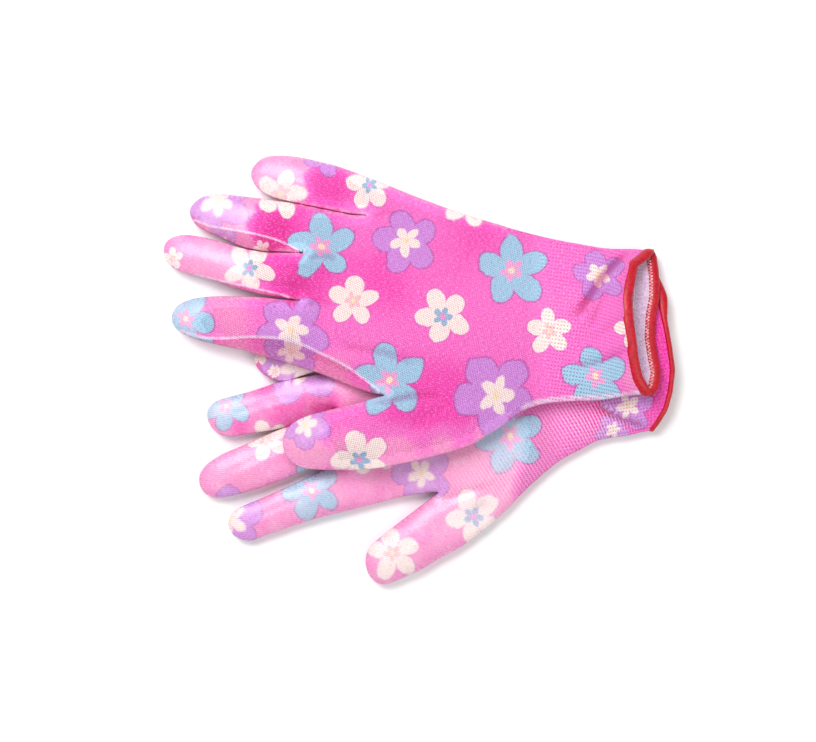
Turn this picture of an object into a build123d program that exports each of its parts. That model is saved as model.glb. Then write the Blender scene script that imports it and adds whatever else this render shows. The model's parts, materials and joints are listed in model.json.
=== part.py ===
"""A pair of knitted gardening gloves with dipped palms, lying one on the other.

The left glove lies palm up on the ground. The right glove lies across it, back up.
Millimetres, +Z up. The origin is the middle of the footprint, on the ground.
Every glove is one knitted liner, divided at the bends of its fingers, a ribbed cuff with inlaid
elastic yarns, a bound edge with its overlocked seam, and a dipped coating on palm and fingers.
"""

from build123d import *
from dataclasses import dataclass
from math import cos, hypot, radians, sin
import os

# Driving dimensions of the glove, the same for both hands
KNIT = 1.1  # thickness of the knitted liner
COAT = 0.4  # thickness of the dipped film
BEND_GAP = 1.0  # clearance between the two sides of a finger bend
WRIST_BARE = 12.0  # the dip stops this far short of the ribbed cuff
BINDING_WIDTH = 4.5  # band that the binding covers at the mouth of the cuff
BINDING_PROUD = 0.8  # how far the binding stands out of the knit on each side
ELASTIC = 0.5  # elastic yarn, square in section
ELASTIC_COUNT = 6
SEAM_WIDTH = 2.6  # overlocked seam along the binding, inside the cuff
SEAM_HEIGHT = 0.4  # how far the overlocked seam stands in from the knit

SEAM_SIDE = 3.0  # the side fold of a flat glove lies this far over its underside
HAND_TOP = 9.0  # from the side fold up to the top of the hand
KNUCKLE_TOP = 7.2  # the same at the knuckles
CUFF_TOP = 8.0  # the same at the cuff
UNDER_BULGE = 3.4  # from the side fold down to the underside, before the ground flattens it

CENTRE = (-0.74, 0.22)  # middle of the footprint, in the layout's own x and y
FAR = 400.0  # bigger than the pair, for cutting


@dataclass
class Finger:
    """A finger: where it leaves the knuckles, how it lies, and where it bends."""

    root: tuple  # x, y, z of the middle of its open end
    tip: tuple  # x, y, z of its closed end
    root_width: float
    tip_width: float
    thickness: float
    bend_at: float  # from the root to the bend

    @property
    def length(self):
        return (Vector(*self.tip) - Vector(*self.root)).length

    @property
    def along(self):
        return (Vector(*self.tip) - Vector(*self.root)).normalized()

    @property
    def plane(self):
        """X along the finger, Y across it and level, Z out of its upper side."""
        across = Vector(0, 0, 1).cross(self.along)
        return Plane(Vector(*self.root), x_dir=self.along, z_dir=self.along.cross(across))


@dataclass
class Glove:
    """One glove as it lies. A station is the two side folds of the hand, little finger side first."""

    name: str
    palm_up: bool
    stations: list  # ((x, y), (x, y), top) from the knuckles to the mouth of the cuff
    fingers: dict
    thumb_base: list  # side folds and height of the thumb's base, from inside the palm to its tube
    fold_height: object  # height of the side fold over the ground, as a function of y
    mouth: tuple  # x, z of the mouth's middle, and degrees that its opening leans up
    rib_from: float  # x where the ribbed cuff starts


def level(y):
    """Side fold of a glove that lies on the ground."""
    return SEAM_SIDE


def over_the_other(y):
    """Side fold of the glove on top: high over the lower glove, low on its little finger side."""
    return 16.7 - 0.12 * y


LEFT = Glove(
    name="left",
    palm_up=True,
    stations=[
        ((-31.5, 26.5), (-26.9, -64.0), KNUCKLE_TOP),
        ((-9.0, 30.0), (-4.5, -59.0), HAND_TOP),
        ((16.0, 33.0), (20.5, -57.0), HAND_TOP),
        ((41.0, 34.0), (45.0, -53.0), HAND_TOP),
        ((64.0, 35.0), (65.0, -42.0), CUFF_TOP),
        ((87.0, 38.0), (85.0, -34.0), CUFF_TOP - 2),
        ((114.0, 42.0), (112.0, -27.0), CUFF_TOP - 2),
    ],
    fingers={
        "little": Finger((-32.0, 16.0, 4.4), (-77.5, 3.9, 4.2), 18.5, 16.0, 8.4, 5.0),
        "ring": Finger((-30.0, -7.8, 4.6), (-98.7, -22.3, 4.6), 20.0, 17.5, 9.0, 35.0),
        "middle": Finger((-29.0, -29.0, 4.6), (-102.4, -52.2, 4.9), 20.5, 19.5, 9.0, 38.0),
        "index": Finger((-27.4, -52.5, 4.6), (-88.6, -71.1, 4.6), 20.5, 17.0, 9.0, 18.0),
        "thumb": Finger((14.4, -68.8, 5.0), (-23.0, -93.2, 5.0), 26.0, 21.5, 10.0, 5.0),
    },
    thumb_base=[((36.0, -22.0), (50.0, -37.0), 5.0), ((24.0, -43.0), (40.0, -64.0), 6.5)],
    fold_height=level,
    mouth=(116.5, 6.0, 10.0),
    rib_from=66.0,
)

RIGHT = Glove(
    name="right",
    palm_up=False,
    stations=[
        ((-32.4, 92.2), (-54.5, 2.1), KNUCKLE_TOP),
        ((-12.6, 85.0), (-28.0, -9.0), HAND_TOP - 1),
        ((4.4, 78.0), (-4.8, -13.0), HAND_TOP),
        ((27.4, 69.2), (22.8, -16.5), HAND_TOP),
        ((50.4, 62.3), (50.4, -17.5), HAND_TOP),
        ((78.0, 57.3), (78.0, -14.5), CUFF_TOP + 1),
        ((108.0, 56.0), (108.0, -12.0), CUFF_TOP + 3),
    ],
    fingers={
        "little": Finger((-34.9, 82.9, 7.5), (-78.3, 90.7, 5.6), 20.5, 19.0, 9.0, 5.0),
        "ring": Finger((-40.0, 62.0, 9.7), (-106.0, 72.9, 5.8), 20.5, 19.0, 9.5, 23.0),
        "middle": Finger((-45.4, 41.5, 12.1), (-118.5, 54.5, 6.2), 20.0, 17.5, 9.5, 19.0),
        "index": Finger((-52.0, 16.6, 15.6), (-114.3, 23.2, 10.6), 26.0, 19.5, 9.5, 12.0),
        "thumb": Finger((-17.3, -27.8, 19.6), (-62.3, -35.2, 16.4), 29.0, 22.0, 11.0, 5.0),
    },
    thumb_base=[((8.0, 8.0), (32.0, -7.0), 5.0), ((-7.0, -9.0), (14.0, -37.0), 6.5)],
    fold_height=over_the_other,
    mouth=(103.0, 18.0, 40.0),
    rib_from=57.0,
)


def cushion(half, top, under):
    """A closed cross-section with its own height over and under its width."""
    arch = EllipticalCenterArc((0, 0), half, top, 0, arc_size=180)
    belly = EllipticalCenterArc((0, 0), half, under, 180, arc_size=180)
    return Face(Wire([arch, belly]))


def egg(glove, fold_a, fold_b, top, grow, under=UNDER_BULGE):
    """A cross-section of a flat glove between two side folds."""
    a = Vector(*fold_a, glove.fold_height(fold_a[1]))
    b = Vector(*fold_b, glove.fold_height(fold_b[1]))
    across = (a - b).normalized()
    plane = Plane((a + b) / 2, x_dir=across, z_dir=across.cross(Vector(0, 0, 1)))
    return plane * cushion((a - b).length / 2 + grow, top + grow, under + grow)


def extended(stations, at_start, at_end):
    """The stations with the first and last moved outwards along the glove."""

    def moved(near, far, by):
        shift = []
        for k in range(2):
            gap = hypot(near[k][0] - far[k][0], near[k][1] - far[k][1])
            shift.append(tuple(n + (n - f) * by / gap for n, f in zip(near[k], far[k])))
        return (*shift, near[2])

    start = moved(stations[0], stations[1], at_start)
    end = moved(stations[-1], stations[-2], at_end)
    return [start, *stations[1:-1], end]


def hand_body(glove, grow, at_knuckles):
    """The hand and cuff as one full solid, grown all round, and longer or shorter at the knuckles."""
    stations = extended(glove.stations, at_knuckles, 12.0)
    return loft([egg(glove, a, b, top, grow) for a, b, top in stations])


def bullet(finger, grow, start):
    """A full finger with a round tip, from start along it, flattened to its thickness."""
    root, tip = finger.root_width / 2 + grow, finger.tip_width / 2 + grow
    centre = finger.length + grow - tip
    open_end = root + (root - tip) * -start / centre
    side = Line((start, open_end), (centre, tip))
    end = CenterArc((centre, 0), tip, 0, 90)
    back = Polyline((centre + tip, 0), (start, 0), (start, open_end))
    round_one = revolve(Face(Wire([side, end, *back.edges()])), Axis.X)
    flatter = (finger.thickness / 2 + grow) / root
    return finger.plane * scale(round_one, by=(1, 1, flatter))


def block(finger, low, high):
    """A box in the finger's own directions, from corner to corner."""
    size = [b - a for a, b in zip(low, high)]
    middle = Vector(*[(a + b) / 2 for a, b in zip(low, high)])
    return finger.plane * Pos(middle) * Box(*size)


def before(finger, distance):
    return block(finger, (-FAR, -60, -60), (distance, 60, 60))


def beyond(finger, distance):
    return block(finger, (distance, -60, -60), (FAR, 60, 60))


def thumb_root(glove, grow):
    """The base of the thumb, from inside the palm to the thumb's bend, or just past it when hollow."""
    thumb = glove.fingers["thumb"]
    reach = thumb.bend_at - BEND_GAP / 2
    if grow < 0:
        reach += 1
    half, tall = thumb.root_width / 2 + grow, thumb.thickness / 2 + grow
    place = thumb.plane
    middle = place.from_local_coords(Vector(reach, 0, 0))
    mouth = Plane(middle, x_dir=place.y_dir, z_dir=-place.x_dir)
    bases = [egg(glove, a, b, top, grow, under=2.4) for a, b, top in glove.thumb_base]
    return loft([*bases, mouth * cushion(half, tall, tall)])


def finger_bases(glove, grow, back):
    """The fingers, all but the thumb, from inside the hand to their bends."""
    parts = []
    for name, finger in glove.fingers.items():
        end = finger.bend_at - BEND_GAP / 2
        if name != "thumb":
            parts.append(bullet(finger, grow, -back) & before(finger, end if grow >= 0 else FAR))
    return parts


def mouth_plane(glove, offset=0.0):
    """The plane of the cuff's mouth, facing out, moved out by offset."""
    x, z, lean = glove.mouth
    out = Vector(cos(radians(lean)), 0, sin(radians(lean)))
    return Plane(Vector(x, 0, z) + out * offset, z_dir=out)


def slab(plane, depth):
    """Everything from the plane back to depth behind it."""
    return plane * Pos(0, 0, -depth / 2) * Box(FAR, FAR, depth)


def cut_at_ground(shape):
    return shape & Pos(0, 0, FAR / 2) * Box(2 * FAR, 2 * FAR, FAR)


def full_glove(glove, grow, at_knuckles, into_palm):
    """The hand and the roots of its fingers as one full solid, grown all round."""
    full = hand_body(glove, grow, at_knuckles) + thumb_root(glove, grow)
    for base in finger_bases(glove, grow, into_palm):
        full += base
    return full


def liner_parts(glove, full):
    """The knitted liner: (hand with the finger bases, ribbed cuff, {finger: liner beyond its bend})."""
    knit = cut_at_ground(full) - full_glove(glove, -KNIT, -KNIT, 8)
    to_rib = Pos(glove.rib_from - FAR / 2, 0, 0) * Box(FAR, FAR, FAR)
    hand = knit & to_rib
    cuff = (knit - to_rib) & slab(mouth_plane(glove, -BINDING_WIDTH), FAR)
    tips = {}
    for name, finger in glove.fingers.items():
        tube = bullet(finger, 0, 0) - bullet(finger, -KNIT, -1)
        tips[name] = tube & beyond(finger, finger.bend_at + BEND_GAP / 2)
    return hand, cuff, tips


def coated_side(glove, finger):
    """The part of a finger that is dipped: its palm side, and all of it at the tip."""
    wrap = finger.length - 0.75 * finger.tip_width
    over_the_fold = 0.12 * finger.thickness
    if glove.palm_up:
        palm_side = block(finger, (-FAR, -60, -over_the_fold), (FAR, 60, 60))
    else:
        palm_side = block(finger, (-FAR, -60, -60), (FAR, 60, over_the_fold))
    return palm_side + block(finger, (wrap, -60, -60), (FAR, 60, 60))


def coating_parts(glove, full):
    """The dipped film: (palm with the finger bases, {finger: film beyond its bend})."""
    palm = full_glove(glove, COAT, -0.7, 5.5) - full
    # The dip line runs just past the side folds, and stops short of the ribs
    middle = (glove.stations[2][0][1] + glove.stations[2][1][1]) / 2
    fall = glove.fold_height(0) - glove.fold_height(1)
    folds = Plane(Vector(0, middle, glove.fold_height(middle)), z_dir=Vector(0, sin(fall), cos(fall)))
    side = 1 if glove.palm_up else -1
    palm_side = folds * Pos(0, 0, side * (FAR / 2 - 1.0)) * Box(2 * FAR, 2 * FAR, FAR)
    wrist = Pos(glove.rib_from - WRIST_BARE - FAR / 2, 0, 0) * Box(FAR, FAR, FAR)
    palm = max((palm & palm_side & wrist).solids(), key=lambda solid: solid.volume)
    tips = {}
    for name, finger in glove.fingers.items():
        film = bullet(finger, COAT, 0) - bullet(finger, 0, -1)
        film = film & beyond(finger, finger.bend_at + BEND_GAP / 2)
        tips[name] = film & coated_side(glove, finger)
    return palm, tips


def cuff_trim(glove):
    """What is sewn or laid into the cuff: (binding, elastic yarns, overlocked seam)."""
    wall_out = hand_body(glove, BINDING_PROUD, 0)
    wall_in = hand_body(glove, -KNIT - BINDING_PROUD, 0)
    binding = cut_at_ground((wall_out - wall_in) & slab(mouth_plane(glove), BINDING_WIDTH))

    inside = hand_body(glove, -KNIT, -KNIT)
    first, last = glove.rib_from + 6, glove.mouth[0] - 24
    pitch = (last - first) / (ELASTIC_COUNT - 1)
    hoops = [Pos(first + i * pitch, 0, 0) * Box(ELASTIC, FAR, FAR) for i in range(ELASTIC_COUNT)]
    yarns = (inside - hand_body(glove, -KNIT - ELASTIC, -KNIT)) & Compound(hoops)

    seam = inside - hand_body(glove, -KNIT - SEAM_HEIGHT, -KNIT)
    seam = seam & slab(mouth_plane(glove, -BINDING_WIDTH), SEAM_WIDTH)
    return binding, yarns, seam


def glove_parts(glove):
    """{node: shape} of one glove."""
    full = full_glove(glove, 0, 0, 6)
    hand, cuff, finger_liners = liner_parts(glove, full)
    palm, finger_films = coating_parts(glove, full)
    binding, yarns, seam = cuff_trim(glove)
    parts = {
        "hand_liner": hand,
        "rib_cuff": cuff,
        "cuff_binding": binding,
        "elastic_yarns": yarns,
        "overlock_seam": seam,
        "palm_coating": palm,
    }
    parts |= {f"{name}_liner": shape for name, shape in finger_liners.items()}
    parts |= {f"{name}_coating": shape for name, shape in finger_films.items()}
    return {f"{glove.name}_{node}": Compound(shape.solids()) for node, shape in parts.items()}


def main():
    os.makedirs("parts", exist_ok=True)
    for glove in (LEFT, RIGHT):
        for node, shape in glove_parts(glove).items():
            export_step(Pos(-CENTRE[0], -CENTRE[1], 0) * shape, f"parts/{node}.step")


if __name__ == "__main__":
    main()
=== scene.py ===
"""The looks of a pair of printed, dipped garden gloves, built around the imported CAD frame.

Each glove is one surface. A flat pattern is drawn and divided where the fingers bend, then inflated into an
upper and an under side, and cut into the liner, the dipped film and the ribbed cuff. Lengths in this file are
in millimetres until mesh_piece() turns them into metres.
"""

import json
import math
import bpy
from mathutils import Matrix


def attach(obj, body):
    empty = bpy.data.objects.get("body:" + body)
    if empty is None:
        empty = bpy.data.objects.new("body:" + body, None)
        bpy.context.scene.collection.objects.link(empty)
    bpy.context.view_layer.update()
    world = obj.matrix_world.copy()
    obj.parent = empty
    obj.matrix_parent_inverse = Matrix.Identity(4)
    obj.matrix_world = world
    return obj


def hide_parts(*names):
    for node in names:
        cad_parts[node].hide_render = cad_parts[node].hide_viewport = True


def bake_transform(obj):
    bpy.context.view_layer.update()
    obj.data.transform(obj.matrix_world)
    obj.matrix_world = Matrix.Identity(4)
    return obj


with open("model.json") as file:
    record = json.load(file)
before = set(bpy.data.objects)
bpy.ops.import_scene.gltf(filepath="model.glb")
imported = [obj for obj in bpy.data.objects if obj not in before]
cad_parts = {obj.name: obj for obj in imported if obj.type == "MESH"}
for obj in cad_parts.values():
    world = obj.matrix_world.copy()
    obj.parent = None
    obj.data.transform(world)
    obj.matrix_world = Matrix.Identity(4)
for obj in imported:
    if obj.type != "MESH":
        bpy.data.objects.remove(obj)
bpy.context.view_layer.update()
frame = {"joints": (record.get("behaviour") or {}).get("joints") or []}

from types import SimpleNamespace

import bmesh
import bpy
import numpy as np
from mathutils import Vector
from mathutils.geometry import delaunay_2d_cdt

CENTRE = np.array([-0.74, 0.22])  # the pair's middle in the pattern's own x and y
KNIT = 1.0  # thickness of the knit
FILM = 0.22  # thickness of the dip
GRID = 1.25  # grid that the inflated height is worked out on
STEP = 1.9  # size of the pattern's triangles
EDGE_RINGS = (0.1, 0.42, 1.0, 1.9, 3.1)  # distances from the edge, closer where the side turns over
CUT_END = 118.0  # where the pattern is cut at the cuff, before its mouth is shaped
RIM_FROM = 74.0  # where the shaping of the mouth begins
CUT_BEFORE = 6.0  # a finger's pieces begin this far before its bend
SWEEPS, OVER_RELAX = 420, 1.9  # rounds of the inflation, and how far each one overshoots (always under 2)
GLOVE_GAP = 1.3  # least distance between the two gloves
DIP_END = {"left": 46, "right": 40}  # x at which the dip ends towards the cuff
DIP_SOFT = 5.0  # distance over which the dip reaches its full thickness
PETAL_REACH = 1.35  # a flower is drawn out to this many times its size

# How far to each side of its middle line a finger's cut reaches
HALF_REACH = {"little": 13, "ring": 13, "middle": 13, "index": 15, "thumb": 18}

joints = {j["child"]: j for j in frame["joints"]}


def smooth(x, low, high):
    t = np.clip((np.asarray(x, float) - low) / (high - low), 0, 1)
    return t * t * (3 - 2 * t)


# Patterns: the outlines of the flat gloves, and each finger's root, its tip and the heights of its side
# folds at the two

LEFT = {
    "name": "left",
    "outline": [
        (152, 46), (132, 44.5), (114, 42), (87, 38), (64, 35.5), (41, 34), (16, 33), (-9, 31), (-25, 28.5),
        (-45, 22.5), (-60, 17.8), (-68, 15), (-74.5, 10.5), (-76.8, 5), (-74.5, 0), (-69, -3.8), (-62, -4.8),
        (-55.5, -2.6), (-48.5, -0.3), (-42, 2.0), (-36, 4.4), (-42, -0.6), (-50.8, -2.8), (-64.6, -5.5),
        (-78, -9.8), (-88, -12.5), (-94.5, -14.6), (-98, -18), (-98.6, -22), (-96.5, -26.5), (-92.5, -29.8),
        (-87, -30.6), (-83, -29.8), (-74, -28.4), (-64.6, -26.7), (-55.4, -23.6), (-47, -20.6),
        (-38.0, -16.8), (-47, -21.2), (-55.4, -24.2), (-64.6, -27.4), (-74, -31.4), (-83, -35.5),
        (-92, -39.3), (-99.5, -44.5), (-102.4, -50), (-101, -55.5), (-97, -58.4), (-92, -58.9), (-83, -56.8),
        (-74, -54.2), (-64.6, -50.8), (-55.4, -47.0), (-46, -43.8), (-37, -42.0), (-46, -46.6),
        (-55.4, -51.5), (-64.6, -55.7), (-74, -59.8), (-83, -63.6), (-87.5, -67), (-88.8, -71.5),
        (-86.8, -76), (-83, -78.2), (-78.4, -78.9), (-72, -76.4), (-64.6, -74), (-55.4, -70.8), (-46, -68),
        (-37, -65.8), (-27.6, -63.3), (-18.6, -61.0), (-9.4, -58.6), (-0.2, -57.0), (8.4, -56.6),
        (-0.2, -63.4), (-9.4, -70.4), (-18.6, -77.7), (-23.4, -82.2), (-25.2, -88), (-24, -94), (-20.5, -98),
        (-16, -99.0), (-9.4, -96.6), (-0.2, -92.5), (9, -86.9), (18.2, -81.9), (27.4, -75.4), (36.6, -67.6),
        (45.8, -58.4), (55, -49.7), (64.2, -42.3), (73.4, -37.3), (82.6, -33.0), (91.8, -31.3), (101, -30.4),
        (112, -28.5), (132, -26), (152, -24),
    ],
    "fingers": {
        "little": ((-32.0, 16.0), (-77.5, 3.9), 4.4, 4.3),
        "ring": ((-30.0, -7.8), (-98.7, -22.3), 4.7, 4.6),
        "middle": ((-29.0, -29.0), (-102.4, -52.2), 4.7, 4.8),
        "index": ((-27.4, -52.5), (-88.6, -71.1), 4.7, 4.5),
        "thumb": ((14.4, -68.8), (-23.0, -93.2), 5.2, 4.9),
    },
    "hand": ((118.0, 6.0), (-30.0, -16.0)),
    "rib_from": 66.0,
}
RIGHT = {
    "name": "right",
    "outline": [
        (152, 55), (128, 55), (107, 56), (90, 56.3), (73, 58.5), (55, 62.2), (36.6, 67.2), (18.2, 72.8),
        (0, 79.5), (-9.4, 83.2), (-18.6, 87), (-37, 93.8), (-46, 96.2), (-55, 98.2), (-64.6, 99.2),
        (-72.4, 98.2), (-77, 94.3), (-78.2, 90), (-76, 85.4), (-71.5, 81.8), (-64.6, 79.2), (-55.4, 77.0),
        (-46, 75.0), (-37, 73.3), (-30, 72.2), (-25, 71.4), (-30.6, 71.5), (-37, 72.7), (-46, 74.4),
        (-55.4, 76.4), (-69.2, 78.6), (-83, 80.3), (-92.2, 81.4), (-99.2, 80.5), (-104.4, 77.6),
        (-106.6, 73.6), (-105.2, 69.2), (-101.5, 65.8), (-92.2, 61.6), (-83, 57.4), (-74, 55.3),
        (-64.6, 54.3), (-53.6, 53.5), (-64.6, 53.7), (-74, 54.6), (-83, 56.4), (-92.2, 59.2), (-101.5, 61.4),
        (-108.4, 62.4), (-114.4, 61.4), (-118, 58.4), (-118.6, 54.3), (-117, 50.2), (-113.8, 47.2),
        (-108.4, 45.2), (-101.5, 43.2), (-92.2, 40.5), (-83, 37.6), (-76, 35.7), (-69.2, 34.4),
        (-62.4, 33.2), (-55, 31.8), (-62.4, 32.2), (-69.2, 33.0), (-76, 33.6), (-85.4, 33.8), (-94.6, 33.8),
        (-101.5, 33.2), (-107, 32.0), (-112, 29.4), (-114.6, 24.8), (-113.6, 20.6), (-109.8, 17.2),
        (-101.5, 13.8), (-92.2, 11.6), (-83, 9.6), (-74, 7.1), (-64.6, 4.6), (-55.4, 1.6), (-46, -1.4),
        (-37, -5.0), (-30, -7.8), (-23.2, -9.9), (-16.4, -11.4), (-22.4, -13.2), (-27.8, -14.8),
        (-37, -17.2), (-46, -19.4), (-53, -21.6), (-59, -24.9), (-62.4, -30), (-62.8, -34.6), (-61, -39.6),
        (-57, -43.2), (-51.8, -44.8), (-46, -45.2), (-34.8, -45.4), (-25.6, -45.1), (-16.4, -44),
        (-9.4, -42.5), (-2.6, -41.2), (4.4, -39.4), (13.6, -37), (22.8, -34), (29.6, -30), (36.6, -25.8),
        (45.8, -19.2), (50.4, -17.2), (57.2, -15.3), (64.2, -14.6), (73.4, -14.1), (82.6, -13.8),
        (91.8, -13.0), (103.2, -11.6), (128, -11), (152, -11),
    ],
    "fingers": {
        "little": ((-34.9, 82.9), (-78.3, 90.7), 5.6, 5.2),
        "ring": ((-40.0, 62.0), (-106.0, 72.9), 7.6, 5.4),
        "middle": ((-45.4, 41.5), (-118.5, 54.5), 11.4, 5.8),
        "index": ((-52.0, 16.6), (-114.3, 23.2), 15.6, 8.8),
        "thumb": ((-17.3, -27.8), (-62.3, -35.2), 19.6, 15.0),
    },
    "hand": ((110.0, 21.0), (-42.0, 44.0)),
    "rib_from": 57.0,
}

# White lines where the flattened glove was folded when it was printed. The other side of the print shows
# between each line and the points beyond it
FOLDS = {
    "left": [],
    "right": [
        {
            "line": [(-103.7, 69.2), (-97, 66.6), (-89.9, 65.3), (-76, 62.6), (-64.6, 59.2), (-54.1, 53.8)],
            "beyond": [(-64.6, 53.9), (-74, 54.9), (-83, 56.8), (-92.2, 60.2), (-101.5, 63.9), (-107, 66)],
            "width": 0.55,
        },
        {
            "line": [(-104, 44.2), (-89.9, 40.9), (-76, 37.6), (-64.6, 34.9), (-57, 32.4)],
            "beyond": [(-62.4, 32.6), (-69.2, 33.6), (-76, 34.6), (-83, 36.2), (-92.2, 39.0), (-104, 42.0)],
            "width": 0.5,
        },
        {
            "line": [
                (-110, 18.2), (-101.5, 15.4), (-93.6, 14.6), (-73.8, 15.2), (-58.7, 13.3), (-47.6, 8.7),
                (-32.4, 0.9), (-17.6, -10.4),
            ],
            "beyond": [(-27, -9.6), (-46, -3), (-64.6, 3), (-83, 8), (-101.5, 12.2), (-112, 16.6)],
            "width": 0.7,
        },
        {
            "line": [
                (47, -17.0), (54, -14.6), (64.2, -13.2), (82.6, -12.4), (92, -11.6), (104, -10.0),
                (118, -10),
            ],
            "beyond": [(118, -14), (92, -15), (64, -17), (48, -20)],
            "width": 1.5,
        },
    ],
}

# Patches where the pink is deeper (above 0) or paler (below 0): (x, y, radius, amount)
# The deeper patches on the left glove next to the right glove's edges and in its finger crotches are painted
# shade; the others are the print's own uneven pink.
TINT_AND_SHADE = {
    "left": [
        (-66, -15, 11, 1.5), (-46, -17, 10, 2.2), (-84, -27, 6, 1.0), (100, 2, 22, 2.0), (98, 30, 16, 1.8),
        (-20, -48, 10, 0.5), (20, -30, 30, -0.9), (30, -66, 16, -0.7), (-90, -44, 12, -0.4),
        (55, -30, 20, -0.5), (-70, 6, 12, 1.6), (-82, -48, 15, -0.5), (-64, -62, 14, -0.5),
        (-14, -84, 12, -0.4), (-4, -76, 10, 0.3), (80, -20, 16, 0.4),
    ],
    "right": [
        (-66, 60, 8, 1.3), (-57, 38, 9, 1.3), (-64, 70, 9, 0.8), (-62, 90, 9, -0.8), (-4, -16, 20, 1.2),
        (-54, 48, 17, 1.0), (-42, 84, 12, 0.9), (-20, 40, 16, 0.7), (26, -16, 18, 0.9), (30, 68, 20, 0.7),
        (-88, 26, 14, -0.9), (-60, 8, 10, -0.6), (-96, 52, 16, -0.7), (70, 20, 26, -0.35), (98, -2, 9, -0.9),
        (-24, 14, 12, -0.3), (-66, 66, 12, 0.7), (-60, 3, 10, -1.2), (-40, -2, 8, -1.2), (-85, 9, 8, -1.0),
        (-32, -37, 10, -1.7), (-10, -37, 10, -1.9), (10, -33, 8, -1.6), (27, -28, 7, -1.4),
        (-56, -36, 9, -0.9),
    ],
}

# Where the rows of the knit show through the dip: (x, y, half width, half height, amount)
STRIPES = [(76, -23, 22, 13, 1.0), (44, -46, 22, 12, 0.65), (24, -60, 16, 12, 0.4)]

# Folds of the fabric: (start, end, depth, half width). The materials darken them as painted shade.
CREASES = {
    "left": [
        ((-20, -16), (-48, -24), 0.8, 2.0), ((-12, -38), (-40, -44), 0.8, 2.0),
        ((34, -54), (6, -60), 0.9, 2.4), ((46, -40), (20, -70), 0.6, 3.0), ((80, -16), (104, -28), 1.6, 1.6),
        ((-62, -36), (-90, -47), 0.35, 1.3), ((-52, -59), (-80, -69), 0.35, 1.3),
        ((-60, -13), (-88, -20), 0.35, 1.3), ((4, -74), (-14, -86), 0.35, 1.6),
        ((26, -66), (44, -44), 0.5, 2.2),
    ],
    "right": [
        ((95, 54), (68, 24), 3.0, 2.1), ((88, 40), (75, 18), 0.8, 2.2), ((-10, 72), (-24, 72), 0.8, 2.4),
        ((-38, 50), (-52, 53), 0.9, 2.2), ((-40, 30), (-53, 32), 0.9, 2.2), ((-40, 60), (-66, 66), 0.5, 1.8),
        ((-46, 44), (-74, 48), 0.5, 1.8), ((-44, 20), (-80, 24), 0.55, 2.2), ((-2, 2), (-40, 14), 0.9, 2.6),
        ((10, -12), (-24, -14), 1.1, 2.4), ((22, -12), (-14, -30), 0.6, 3.0), ((70, 2), (96, 8), 0.9, 2.0),
        ((74, 14), (95, 24), 0.6, 1.6), ((60, 44), (80, 38), 0.5, 2.0), ((-30, -26), (-52, -32), 0.35, 1.8),
        ((-34, 86), (-62, 92), 0.4, 1.8), ((-36, 80), (-60, 84), 0.35, 1.3),
    ],
}

# Flowers: (x, y, radius, turn in degrees, kind). Kinds: 1 cream round an orange flower, 2 cream round a
# blue one, 3 blue round a pink one, 4 purple round a cream one
FLOWERS = {
    "left": [
        (-90, -16.6, 11.5, 30, 3), (-56, 2, 18, 12, 4), (-71.0, -32.5, 10.0, 20, 1),
        (-50, -55.5, 13.5, 20, 3), (-88, -69, 15, 5, 4), (0.5, -47.5, 13.5, 14, 4), (41, -31.5, 16, 16, 3),
        (25, -67.5, 13, 24, 2), (-12.5, -84.5, 12.5, 10, 1), (95.5, -17, 12, 0, 4), (89, -27.5, 8, 40, 4),
        (-75, 7.4, 5.5, 0, 1), (-67, -0.5, 4.5, 30, 1), (-23, -36, 12.5, 12, 1), (10, -25, 13, 50, 2),
        (66, 0, 14, 10, 1), (88, 14, 13, 30, 3), (20, 12, 15, 0, 4), (-12, 10, 13, 30, 1),
    ],
    "right": [
        (-64, 81.5, 11.5, 55, 1), (-43, 100, 10.5, 36, 4), (-23.4, 85.2, 11, 4, 2), (22.0, 77.6, 12, 56, 1),
        (-6.7, 58.9, 14.5, 12, 4), (-45.3, 56.6, 15, 4, 3), (-93.6, 77.6, 15.5, 20, 4),
        (-78.4, 47, 12, 38, 2), (-114.5, 51.5, 5.0, 0, 1), (-108, 23.5, 13.5, 42, 3),
        (-58.6, 17.2, 16.5, 36, 4), (-31, 31.8, 11.5, -5, 1), (9.9, 24.8, 12.5, 22, 2),
        (42.6, 45.6, 16, 4, 3), (58.2, 17.5, 10.5, 4, 1), (81.7, 43.7, 12, 10, 4),
        (34.0, -11.2, 18.5, 30, 4), (78.9, -3.4, 14.5, 10, 3), (-14.5, -4.4, 16.5, 8, 3),
        (97, 19.5, 9.5, 20, 1), (-52.2, -24.6, 11.5, 36, 4), (-27, -40.5, 13.5, 20, 2),
    ],
    "right_past": [
        (-58.6, 9.0, 12.5, 0, 4), (-106, 10.5, 11, 0, 3), (-92, 58.0, 8, 20, 4), (-73, 56.0, 4, 20, 1),
        (88, -17, 12, 10, 3), (-8, -8, 15, 5, 3),
    ],
}
BELOW = {"left": (3, -2), "right": (2, 9)}  # how far the print of the underside is shifted

# How far from each fingertip the dip reaches on the back of the glove
WRAP = {
    "left": {"little": 16, "ring": 18, "middle": 20, "index": 18, "thumb": 18},
    "right": {"little": 27, "ring": 29, "middle": 40, "index": 14, "thumb": 20},
}


# Lines and areas in the plane


def curve_through(points, step, closed=True):
    """A smooth line through the points, sampled every step or so."""
    p = np.array(points, float)
    n = len(p)
    out = []
    for i in range(n if closed else n - 1):
        a, b, c, d = (p[(i + k) % n] if closed else p[min(max(i + k, 0), n - 1)] for k in (-1, 0, 1, 2))
        count = max(1, int(round(np.linalg.norm(c - b) / step)))
        for t in np.arange(count) / count:
            square, cube = 2 * a - 5 * b + 4 * c - d, 3 * b - a - 3 * c + d
            out.append(0.5 * (2 * b + (c - a) * t + square * t**2 + cube * t**3))
    if not closed:
        out.append(p[-1])
    return np.array(out)


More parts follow.
